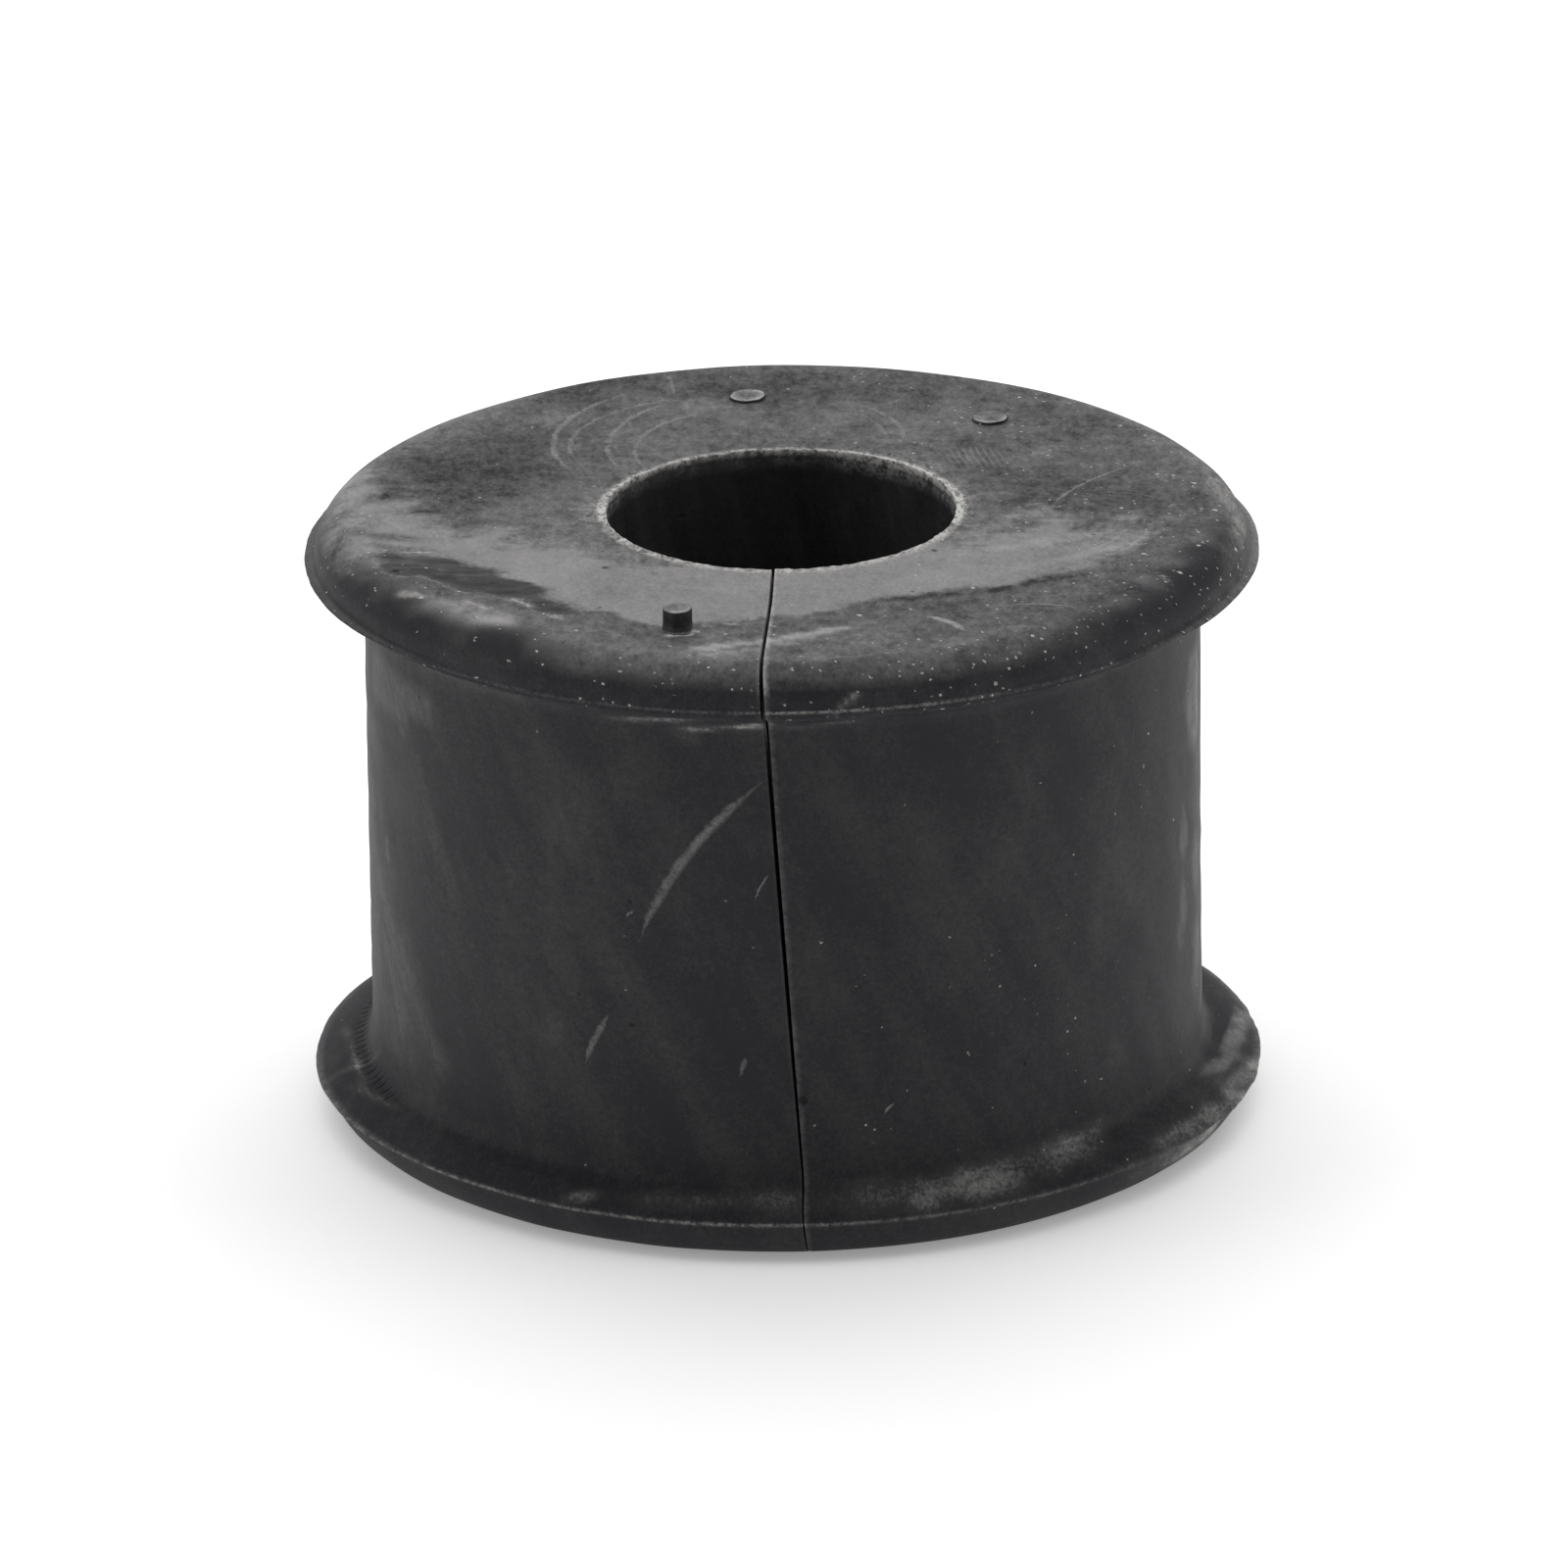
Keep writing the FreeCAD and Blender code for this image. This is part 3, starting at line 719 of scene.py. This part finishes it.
# black rubber
rubber = {
    "cloudScale": 0.10,        # waves to the millimetre of each kind of unevenness
    "mottleScale": 0.60,
    "fineScale": 1.8,
    "grainScale": 4.6,
    "deep": (0.0150, 0.0154, 0.0182),
    # grey of the bloom, also used for painted edge light and painted shade on the sleeve
    "film": (0.170, 0.164, 0.164),
    # white of the dust, also used for painted edge light and the pips' painted highlight
    "chalk": (0.52, 0.51, 0.49),
    # near-black for pits, nicks and notches: painted shade in the recesses
    "hole": (0.004, 0.004, 0.0045),
    "roughness": 0.60,         # sleeve
    "dullest": 0.92,           # end face, from no bloom to full bloom
    "shiniest": 0.42,
    "specular": 0.24,
    "faceFilm": 0.36,          # bloom on the end face
    "plateauFilm": 0.46,       # and more of it where the face is worn smooth
    "smallSpeck": (1.9, 0.105),    # cells to the millimetre, radius
    "largeSpeck": (0.85, 0.165),
    "darkDot": (0.62, 0.17),
    "pit": (0.12, 0.26),           # radius of the floor and of the rim
    "nick": (0.14, 0.34),
}

# strokes on the end face, as x and y of three points, with half width and strength
faceStrokes = [
    (((-24.0, -6.8), (-22.7, -7.05), (-21.4, -7.0)), 0.13, 0.60),
    (((-24.3, -3.9), (-23.5, -4.5), (-22.8, -4.8)), 0.10, 0.20),
    (((9.3, -20.0), (10.3, -20.9), (11.2, -22.7)), 0.34, 0.50),
    (((13.9, -17.9), (16.0, -17.8), (18.3, -18.6)), 0.12, 0.36),
    (((16.8, -0.4), (18.9, 3.9), (21.6, 6.9)), 0.16, 0.26),
    (((14.4, -0.5), (15.6, 0.3), (17.0, 0.7)), 0.14, 0.22),
    (((18.9, -10.2), (22.1, -6.6), (23.2, -2.9)), 0.24, 0.20),
    (((17.6, -9.0), (20.4, -6.6), (21.8, -3.6)), 0.14, 0.14),
    (((-9.6, 22.2), (-14.1, 15.5), (-12.4, 6.3)), 0.26, 0.24),
    (((-8.6, 20.0), (-12.5, 16.0), (-11.8, 7.3)), 0.20, 0.20),
    (((-7.8, 19.6), (-10.6, 14.8), (-9.8, 7.2)), 0.22, 0.25),
    (((-5.6, 17.9), (-9.0, 13.1), (-8.8, 8.7)), 0.20, 0.19),
    (((-4.4, 18.4), (-7.6, 16.0), (-9.6, 12.2)), 0.15, 0.18),
    (((4.0, 20.2), (7.2, 16.6), (7.4, 11.2)), 0.22, 0.16),
    (((3.2, 19.2), (6.2, 15.8), (6.5, 11.6)), 0.15, 0.11),
    (((-7.1, 26.2), (-6.9, 23.8), (-6.7, 21.6)), 0.18, 0.18),
    (((-6.4, 20.6), (-7.2, 20.8), (-8.0, 20.5)), 0.12, 0.34),
    (((24.4, 0.6), (22.0, 2.2), (19.4, 2.4)), 0.12, 0.14),
    (((6.6, -25.9), (3.4, -26.6), (0.8, -26.4)), 0.14, 0.12),
    (((-7.2, -22.2), (-6.3, -22.52), (-5.3, -22.0)), 0.13, 0.85),
]

# strokes on the sleeve, as mm round it from the cut and height, on each side of the cut
leftStrokes = [
    (((-2.0, 30.2), (-6.05, 25.8), (-9.5, 19.2)), 0.38, 0.24),
    (((-3.5, 28.7), (-5.0, 27.15), (-6.6, 24.9)), 0.26, 0.30),
    (((-11.3, 14.8), (-12.35, 12.9), (-13.2, 10.9)), 0.28, 0.22),
    (((-2.6, 12.5), (-2.8, 11.9), (-3.05, 11.2)), 0.20, 0.20),
    (((-1.0, 24.8), (-1.5, 23.9), (-1.9, 23.0)), 0.09, 0.32),
    (((-9.6, 21.7), (-9.9, 21.5), (-10.2, 21.2)), 0.09, 0.26),
    (((-37.4, 18.0), (-32.8, 14.6), (-28.8, 10.0)), 1.10, 0.05),
    (((-35.6, 14.0), (-31.8, 11.0), (-30.6, 7.4)), 1.00, 0.05),
    (((-32.2, 16.0), (-28.8, 11.6), (-26.5, 8.4)), 0.80, 0.04),
    (((-33.0, 20.8), (-32.9, 19.8), (-32.6, 18.6)), 0.50, 0.09),
]
rightStrokes = [
    (((6.5, 9.0), (6.25, 8.8), (5.9, 8.4)), 0.10, 0.34),
    (((38.9, 9.4), (38.3, 7.6), (36.8, 6.0)), 0.22, 0.55),
    (((33.4, 33.0), (30.8, 34.0), (27.8, 34.4)), 0.12, 0.26),
]

# small holes in the face, nicks beside the cut, a cutter's ripples, and the thickest specks
pits = ((-24.0, -10.4), (-11.0, -10.3), (9.5, -7.9))
nicks = ((0.9, 9.7), (0.2, 7.3), (0.1, 11.2))
ripplePlace = (12.4, 9.3)
speckPlace = (16.0, 12.0)


def makeRubber(values):
    # black rubber under a film of bloom, then marks and dust, then holes; mm throughout
    material = bpy.data.materials.new("blackRubber")
    material.use_nodes = True
    wiring = Wiring(material)
    shader = material.node_tree.nodes["Principled BSDF"]
    local = wiring.add("ShaderNodeTexCoord", {}, {}, "Object")
    place = wiring.vector("SCALE", {0: local, "Scale": 1000.0})
    skin = wiring.add("ShaderNodeAttribute", {"attribute_name": "skin"}, {}, "Vector")
    x, y, z = wiring.split(place)
    around = wiring.split(skin)[0]
    onFace = z.rising(*zones["face"])
    outside = wiring.vector("LENGTH", {0: wiring.join(x, y)}, "Value") - boreRadius
    onSleeve = outside.rising(*zones["sleeve"]) * (1.0 - onFace)

    drawn = wiring.vector("MULTIPLY", {0: place, 1: (1.0, 0.6, 1.0)})
    cloud = wiring.noise(place, values["cloudScale"], 4.0, 0.6)
    mottle = wiring.noise(drawn, values["mottleScale"], 5.0, 0.68)
    fine = wiring.noise(drawn, values["fineScale"], 4.0, 0.65)
    grain = wiring.noise(drawn, values["grainScale"], 3.0, 0.6)
    long = wiring.add("ShaderNodeMapping", {"vector_type": "TEXTURE"}, {
        "Vector": place, "Rotation": (0.0, 0.0, math.radians(-8.0)), "Scale": (4.0, 1.0, 1.0)})
    streak = wiring.noise(long, 1.5, 3.0, 0.6)

    # end face: bloom, a plateau worn smooth, mottling and short streaks outside it
    plateau = wiring.value("plateau") + 0.7 * (fine - 0.5) + 0.8 * (streak - 0.5)
    plateau = plateau.rising(-0.30, 0.42)
    plateau = plateau * (0.80 + 0.5 * (cloud - 0.3)).atMost(1.0)
    frayed = 1.1 * (fine - 0.5) + 1.1 * (mottle - 0.5) + 0.7 * (streak - 0.5)
    lens = (wiring.value("lens") + frayed).rising(-0.40, 0.45)
    lens = lens * (0.30 + 1.1 * streak).atMost(1.0)
    rubbedOff = (wiring.value("rubbedOff") + 0.6 * frayed).rising(-0.45, 0.45)
    lens = lens.atLeast(0.95 * rubbedOff)
    rough = 1.0 - 0.66 * plateau
    uneven = 0.70 * (mottle - 0.5) + 0.72 * (fine - 0.5) + 0.30 * (streak - 0.5)
    uneven = uneven + 0.55 * (cloud - 0.5)
    level = wiring.value("filmLevel")
    bloom = values["faceFilm"] + values["plateauFilm"] * plateau + uneven * rough
    bloom = bloom + 0.55 * (grain - 0.5) + level * (0.5 + mottle)
    bloom = (bloom * (1.0 - 0.92 * lens)).atLeast(0.0).atMost(1.0)

    # sleeve: long faint rubs, a little bloom, and streaks along the sides from the side patches,
    # which hold bloom, painted edge light and painted shade
    slanted = wiring.add("ShaderNodeMapping", {"vector_type": "TEXTURE"}, {
        "Vector": skin, "Rotation": (0.0, 0.0, math.radians(-28.0)), "Scale": (1.0, 6.0, 1.0)})
    rubs = wiring.noise(slanted, 0.30, 3.0, 0.6)
    scuffs = wiring.noise(slanted, 1.3, 3.0, 0.6)
    foot = zones["sleeveFoot"]
    scuffs = scuffs * z.rising(*foot) + mottle * z.falling(*foot)
    sleeve = 0.034 + 0.27 * (rubs - 0.5) + 0.20 * (cloud - 0.5) + 0.15 * (mottle - 0.5)
    sleeve = sleeve + 0.15 * (fine - 0.5) + 0.24 * (grain - 0.5) + 0.06 * wiring.value("inBore")
    sleeve = sleeve + 0.7 * level * (1.7 * scuffs + 0.1 + 1.2 * (fine - 0.5)).atLeast(0.0)
    film = bloom * onFace + sleeve * (1.0 - onFace)

    # strokes and scratches, broken up by the grain
    warp = (fine - 0.5) * 0.5
    flatFace = wiring.join(x + warp, y - warp)
    leftSide = wiring.join(around - aroundSleeve + warp, z)
    rightSide = wiring.join(around + warp, z)
    marks = wiring.arcs(flatFace, faceStrokes) * onFace
    scratches = wiring.arcs(leftSide, leftStrokes).atLeast(wiring.arcs(rightSide, rightStrokes))
    marks = marks + scratches * onSleeve
    marks = marks * (0.25 + 0.75 * (grain * 0.9 + fine * 0.8).rising(0.55, 1.05))

    # ripples left by a cutter beside the bore
    ripples = wiring.sum("SINE", x * 15.0 + y * 3.0 + mottle * 6.0, 0.0).rising(0.2, 1.0)
    away = wiring.far(flatFace, ripplePlace)
    marks = marks + 0.14 * ripples * away.falling(1.2, 2.6) * onFace

    # chalky dust, in crumbs, together with painted edge light on the sleeve and a painted
    # highlight on the pips, and the torn white ring at the bore's edge
    crumbs = (0.6 * fine + 0.5 * grain).rising(0.46, 0.66)
    dustAndPaintedLight = wiring.value("chalkLevel")
    dustAndPaintedLight = dustAndPaintedLight * ((dustAndPaintedLight * 0.7 + fine * 0.8 + grain * 1.1).rising(1.15, 1.75) * 0.52 + 0.13)
    tear = wiring.value("tear")
    ring = (outside + (fine - 0.5) * 0.9).falling(0.30, 0.75) * z.rising(38.6, 38.85)
    ring = ring * outside.rising(-0.3, -0.1)
    wide = (outside + (fine - 0.5) * 2.6).falling(0.2, 1.7) * (tear - 0.3).rising(0.0, 0.8)
    torn = ring * (0.38 + 0.9 * tear).atMost(1.3) * (0.20 + 1.1 * crumbs)
    torn = torn + 0.62 * wide * crumbs * onFace
    lipEdge = wiring.value("lipEdge") * (0.15 + 0.85 * ((fine + grain) * 0.5).rising(0.42, 0.60))
    cutEdge = wiring.value("cutEdge") * (0.35 + 0.65 * crumbs)
    chalk = marks + dustAndPaintedLight + torn + 0.50 * lipEdge + 0.62 * cutEdge

    # whitish edges of the dark lens
    rim = wiring.value("lens") + (fine - 0.5) * 0.9
    rim = rim.rising(-0.30, -0.12) * rim.falling(-0.10, 0.06)
    chalk = chalk + 0.20 * rim * crumbs

    # dust specks: more on the right, most on the right shoulder and rim, and few dark ones
    right = x.rising(-6.0, 18.0)
    shoulder = z.rising(*zones["shoulderHeight"]) * outside.rising(*zones["shoulder"])
    shoulder = shoulder * y.falling(-6.0, 2.0)
    cluster = wiring.far(rightSide, speckPlace)
    crowd = onFace * (0.05 + 0.34 * right) + shoulder * (0.40 + 0.36 * right)
    crowd = crowd + onSleeve * (0.020 + 0.03 * right + 0.09 * cluster.falling(4.0, 12.0))
    crowd = crowd * (4.0 * mottle - 1.4).atLeast(0.1) * outside.rising(0.2, 0.8)
    crumble = (grain - 0.5) * 0.45
    bent = wiring.join(x + warp * 0.5 + crumble, y + warp * 0.4 - crumble, z - warp * 0.3)
    small = wiring.specks(bent, *values["smallSpeck"], crowd)
    large = wiring.specks(bent, *values["largeSpeck"], crowd * 0.6)
    chalk = chalk + (0.80 * small + 0.95 * large) * (0.35 + 1.3 * cloud).atMost(1.0)
    dots = wiring.specks(bent, *values["darkDot"], 0.05 + 0.05 * mottle)

    # short notches in the crease, on the left only
    notch = wiring.sum("SINE", around * 7.5 + mottle * 9.0, 0.0).rising(0.35, 0.9)
    out = outside - zones["crease"]
    crease = (out + (fine - 0.5) * 0.8).falling(0.05, 0.55) * out.rising(-0.6, -0.2)
    reach = zones["creaseHeight"]
    crease = crease * z.falling(*reach[2:]) * z.rising(*reach[:2])
    notch = notch * crease * x.falling(*zones["notchX"]) * y.falling(*zones["notchY"])

    # pits, nicks and notches turn near-black as painted shade in the recesses; the dark specks
    # join them
    shadedHoles = (dots * 0.7).atLeast(notch)
    for centre in pits:
        shadedHoles = shadedHoles.atLeast(wiring.far(flatFace, centre).falling(*values["pit"]) * onFace)
    for centre in nicks:
        nick = wiring.far(rightSide, centre).falling(*values["nick"])
        shadedHoles = shadedHoles.atLeast(nick * onSleeve)

    dark = shadedHoles.atLeast(wiring.value("bare") * 0.62)
    # the bloom grey and the chalk white also carry painted edge light, painted shade and a
    # painted highlight
    colour = wiring.blend(film.atLeast(0.0).atMost(1.0), values["deep"], values["film"])
    colour = wiring.blend(chalk.atLeast(0.0).atMost(1.0), colour, values["chalk"])
    colour = wiring.blend(dark, colour, values["hole"])
    material.node_tree.links.new(colour.socket, shader.inputs["Base Color"])

    # the flanges' inner slopes are dull, the plateau is the smoothest
    slopes = z.falling(*zones["slopeTop"]) * z.rising(*zones["slopeHeight"])
    slopes = outside.rising(*zones["slope"]) * slopes
    faceRough = values["dullest"] + (values["shiniest"] - values["dullest"]) * bloom
    sideRough = values["roughness"] + 0.20 * (mottle - 0.5) + 0.26 * slopes
    roughness = faceRough * onFace + sideRough * (1.0 - onFace)
    roughness = (roughness + 0.3 * chalk).atLeast(0.3).atMost(0.95)
    material.node_tree.links.new(roughness.socket, shader.inputs["Roughness"])
    shader.inputs["Specular IOR Level"].default_value = values["specular"]

    relief = grain * 0.012 + fine * 0.02 + mottle * 0.03 * rough - 0.10 * shadedHoles + 0.03 * marks
    relief = relief + 0.04 * (small + large) - 0.03 * lens
    normal = wiring.add("ShaderNodeBump", {}, {
        "Strength": 1.0, "Distance": 0.001, "Height": relief})
    material.node_tree.links.new(normal.socket, shader.inputs["Normal"])
    return material


# feed pips on the upper face
pipValues = {
    "standing": {"radius": 0.9, "height": 1.36, "inset": 4.6, "angle": 253.1, "foot": 0.1,
                 "rim": 0.45},
    "rear": {"radius": 1.15, "height": 0.22, "inset": 5.7, "angle": 95.6, "foot": 0.10,
             "rim": 1.5},
    "side": {"radius": 1.15, "height": 0.20, "inset": 5.7, "angle": 50.7, "foot": 0.05,
             "rim": 0.45},
}


def makePip(name, values, seed):
    # a turned stub: its outline is carried round its own axis, and the cut end is uneven
    faceEdge = bushing["rimRadius"] - bushing["shoulderRadius"]
    far = faceEdge - values["inset"]
    centreX = far * math.cos(math.radians(values["angle"]))
    centreY = far * math.sin(math.radians(values["angle"]))
    size, tall, foot = values["radius"], values["height"], values["foot"]
    outR = np.array([0.0, 0.97, 1.0, 1.0, 1.0, 1.0, 0.97, 0.9, 0.6, 0.3, 0.0]) * size
    outR[1:4] += foot * np.array([1.0, 0.85, 0.3])
    share = np.array([-0.3, -0.3, 0.02, 0.08, 0.5, 0.93, 0.98, 1.0, 1.0, 1.0, 1.0])
    outZ = np.where(share < 0.0, -0.25, share * tall)
    count = 48
    around = np.linspace(0.0, 2.0 * np.pi, count, endpoint=False)
    wobble = 0.02 * aroundNoise(around, 2, 9, seed)
    ring = outR[1:-1, None] * (1.0 + wobble[None, :])
    top = (share[1:-1, None] > 0.9)
    rise = height + outZ[1:-1, None] + top * 0.03 * np.cos(around - 0.6)[None, :]
    x = centreX + ring * np.cos(around)
    y = centreY + ring * np.sin(around)
    points = np.stack([x, y, rise * np.ones_like(x)], axis=2).reshape(-1, 3)
    rows = len(outR) - 2
    points = np.concatenate([points, [[centreX, centreY, height - 0.25],
                                      [centreX, centreY, height + tall]]])
    i = np.arange(rows - 1)[:, None]
    j = np.arange(count)[None, :]
    after = (j + 1) % count
    quads = np.stack([i * count + j, i * count + after, (i + 1) * count + after,
                      (i + 1) * count + j], axis=2).reshape(-1, 4)
    j = np.arange(count)
    after = (j + 1) % count
    low = np.stack([after, j, np.full(count, rows * count)], axis=1)
    base = (rows - 1) * count
    high = np.stack([base + j, base + after, np.full(count, rows * count + 1)], axis=1)
    mesh = bpy.data.meshes.new(name)
    mesh.from_pydata((points * mm).tolist(), [], quads.tolist() + low.tolist() + high.tolist())
    mesh.polygons.foreach_set("use_smooth", np.ones(len(mesh.polygons), dtype=bool))
    piece = bpy.data.objects.new(name, mesh)
    bpy.context.collection.objects.link(piece)

    # the sides are bare and dark, the cut end as worn as the face, its edge whitish towards the
    # front right as a painted highlight
    def oneEach(rowValues, lowValue, highValue):
        return np.concatenate([np.repeat(rowValues, count), [lowValue, highValue]])

    # painted highlight: the edge and foot are whiter on the side towards the front right
    lit = np.clip(values["rim"] - np.cos(around - math.radians(115.0)), 0.0, 1.0)
    white = np.array([1.0, 0.9, 0.2, 0.0, 0.0, 0.3, 1.0, 0.5, 0.0])[:, None] * lit[None, :]
    setValues(piece, "bare", oneEach([0, 0, 0.5, 1, 1, 0.7, 0, 0, 0], 0.0, 0.0))
    setValues(piece, "plateau", oneEach([1, 1, -9, -9, -9, -9, 0, 0, 0], 0.0, 0.0))
    setValues(piece, "chalkLevel", np.append(white.ravel(), (0.0, 0.0)))
    for name in ("lens", "rubbedOff"):
        setValues(piece, name, np.full(len(points), -9.0))
    return piece


# bench, light and camera
stage = {
    "floorSize": 4000.0,
    "floorTone": 0.90,
    "floorRoughness": 0.8,
    "floorSpecular": 0.1,
    "floorGlow": 0.25,
    "sky": 0.18,
    "roof": {"size": (2600.0, 2200.0), "place": (0.0, 500.0, 1500.0), "glow": 1.56},
    "back": {"size": (3000.0, 1300.0), "place": (0.0, 1900.0, 800.0), "glow": 1.85},
    "left": {"size": (900.0, 1200.0), "place": (-1500.0, -100.0, 600.0), "glow": 1.42},
    "right": {"size": (900.0, 1200.0), "place": (1500.0, 0.0, 600.0), "glow": 1.30},
}

photoCamera = {
    "away": 1000.0,
    "aim": (-0.043, 20.588),     # x and z of the point looked at
    "elevation": 20.884,
    "roll": -0.729,
    "lens": 363.85,
    "sensor": 36.0,
}


def makeFloor(values):
    # a plain white square with a faint glow of its own
    half = values["floorSize"] / 2 * mm
    mesh = bpy.data.meshes.new("floor")
    corners = [(-half, -half, 0.0), (half, -half, 0.0), (half, half, 0.0), (-half, half, 0.0)]
    mesh.from_pydata(corners, [], [(0, 1, 2, 3)])
    floor = bpy.data.objects.new("floor", mesh)
    bpy.context.collection.objects.link(floor)
    material = bpy.data.materials.new("whiteBench")
    material.use_nodes = True
    shader = material.node_tree.nodes["Principled BSDF"]
    tone = values["floorTone"]
    shader.inputs["Base Color"].default_value = (tone, tone, tone, 1.0)
    shader.inputs["Roughness"].default_value = values["floorRoughness"]
    shader.inputs["Specular IOR Level"].default_value = values["floorSpecular"]
    shader.inputs["Emission Color"].default_value = (1.0, 1.0, 1.0, 1.0)
    shader.inputs["Emission Strength"].default_value = values["floorGlow"]
    mesh.materials.append(material)


def aimMatrix(place):
    # an object at a place whose -Z points at the bushing's foot, kept upright
    back = np.array(place, dtype=float)
    back /= np.linalg.norm(back)
    up = np.array([0.0, 0.0, 1.0]) if abs(back[2]) < 0.99 else np.array([0.0, 1.0, 0.0])
    right = np.cross(up, back)
    right /= np.linalg.norm(right)
    top = np.cross(back, right)
    columns = np.stack([right, top, back, np.array(place) * mm], axis=1)
    return Matrix([*columns.tolist(), [0.0, 0.0, 0.0, 1.0]])


def makeLight(name, values):
    # a soft box, its power scaled with its area
    lamp = bpy.data.lights.new(name, "AREA")
    lamp.shape = "RECTANGLE"
    lamp.size = values["size"][0] * mm
    lamp.size_y = values["size"][1] * mm
    lamp.energy = values["glow"] * math.pi * lamp.size * lamp.size_y
    thing = bpy.data.objects.new(name, lamp)
    thing.matrix_world = aimMatrix(values["place"])
    thing.visible_camera = False
    bpy.context.collection.objects.link(thing)


def makeCamera(values):
    # the photograph's view: looking down at the aim from in front, rolled a little
    pitch = math.radians(values["elevation"])
    roll = math.radians(values["roll"])
    ahead = np.array([0.0, math.cos(pitch), -math.sin(pitch)])
    side = np.array([1.0, 0.0, 0.0])
    up = np.array([0.0, math.sin(pitch), math.cos(pitch)])
    right = side * math.cos(roll) + up * math.sin(roll)
    top = up * math.cos(roll) - side * math.sin(roll)
    aim = np.array([values["aim"][0], 0.0, values["aim"][1]])
    place = (aim - ahead * values["away"]) * mm
    columns = np.stack([right, top, -ahead, place], axis=1)
    lens = bpy.data.cameras.new("photoCamera")
    lens.lens = values["lens"]
    lens.sensor_width = values["sensor"]
    lens.clip_start = 0.01
    camera = bpy.data.objects.new("photoCamera", lens)
    camera.matrix_world = Matrix([*columns.tolist(), [0.0, 0.0, 0.0, 1.0]])
    bpy.context.collection.objects.link(camera)
    bpy.context.scene.camera = camera


scene = bpy.context.scene
scene.view_settings.view_transform = "Standard"
world = bpy.data.worlds.new("studio")
world.use_nodes = True
world.node_tree.nodes["Background"].inputs["Color"].default_value = (1.0, 1.0, 1.0, 1.0)
world.node_tree.nodes["Background"].inputs["Strength"].default_value = stage["sky"]
scene.world = world
makeFloor(stage)
for lightName in ("roof", "back", "left", "right"):
    makeLight(lightName, stage[lightName])
makeCamera(photoCamera)
print("bench, lights and camera placed")

rubberMaterial = makeRubber(rubber)
bushingPiece, bushingGrid = makeBushing(bushing)
layMarks(bushingPiece, bushingGrid)
bushingPiece.data.materials.append(rubberMaterial)
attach(bushingPiece, "root")
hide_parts(bushingNode)
print("bushing made,", len(bushingPiece.data.polygons), "faces")

for seed, (pipName, oneValues) in enumerate(pipValues.items(), start=30):
    pip = makePip(pipName + "Pip", oneValues, seed)
    pip.data.materials.append(rubberMaterial)
    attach(pip, "root")
print("pips made")
